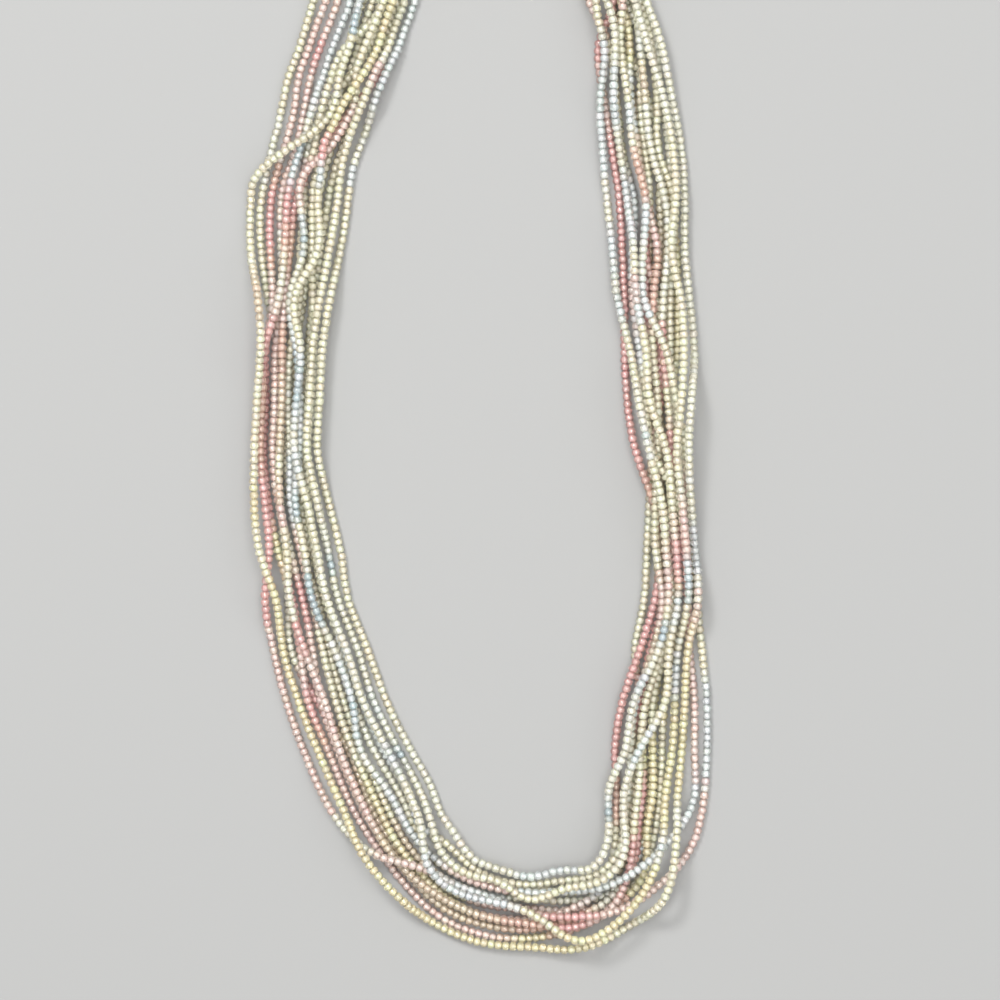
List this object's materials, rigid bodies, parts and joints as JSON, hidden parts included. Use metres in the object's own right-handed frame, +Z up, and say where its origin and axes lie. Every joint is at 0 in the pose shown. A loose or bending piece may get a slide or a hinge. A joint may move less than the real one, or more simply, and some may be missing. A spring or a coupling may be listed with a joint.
{
  "type": "multi strand necklace",
  "caption": "Long necklace of loose strands of small round glass seed beads in cream, pale pink and icy blue, gathered into a plain barrel clasp and lying closed.",
  "frame": {"origin": "on the surface it lies on, under the middle of the whole loop", "axes": "+X to the right across the loop, +Y from the bottom of the loop to the clasp, +Z up from the surface"},
  "size_m": [0.093, 0.2541, 0.0105],
  "materials": {
    "cream_beads": "glossy",
    "pink_beads": "glossy",
    "blue_beads": "glossy",
    "clasp_metal": "satin"
  },
  "bodies": {
    "root": {"strand_1": "cream_beads", "strand_2": "cream_beads", "strand_3": "cream_beads", "strand_4": "pink_beads", "strand_5": "pink_beads", "strand_6": "cream_beads", "strand_7": "pink_beads", "strand_8": "cream_beads", "strand_9": "blue_beads", "strand_10": "pink_beads", "strand_11": "cream_beads", "strand_12": "cream_beads", "strand_13": "blue_beads", "strand_14": "cream_beads", "clasp": "clasp_metal"}
  },
  "joints": []
}
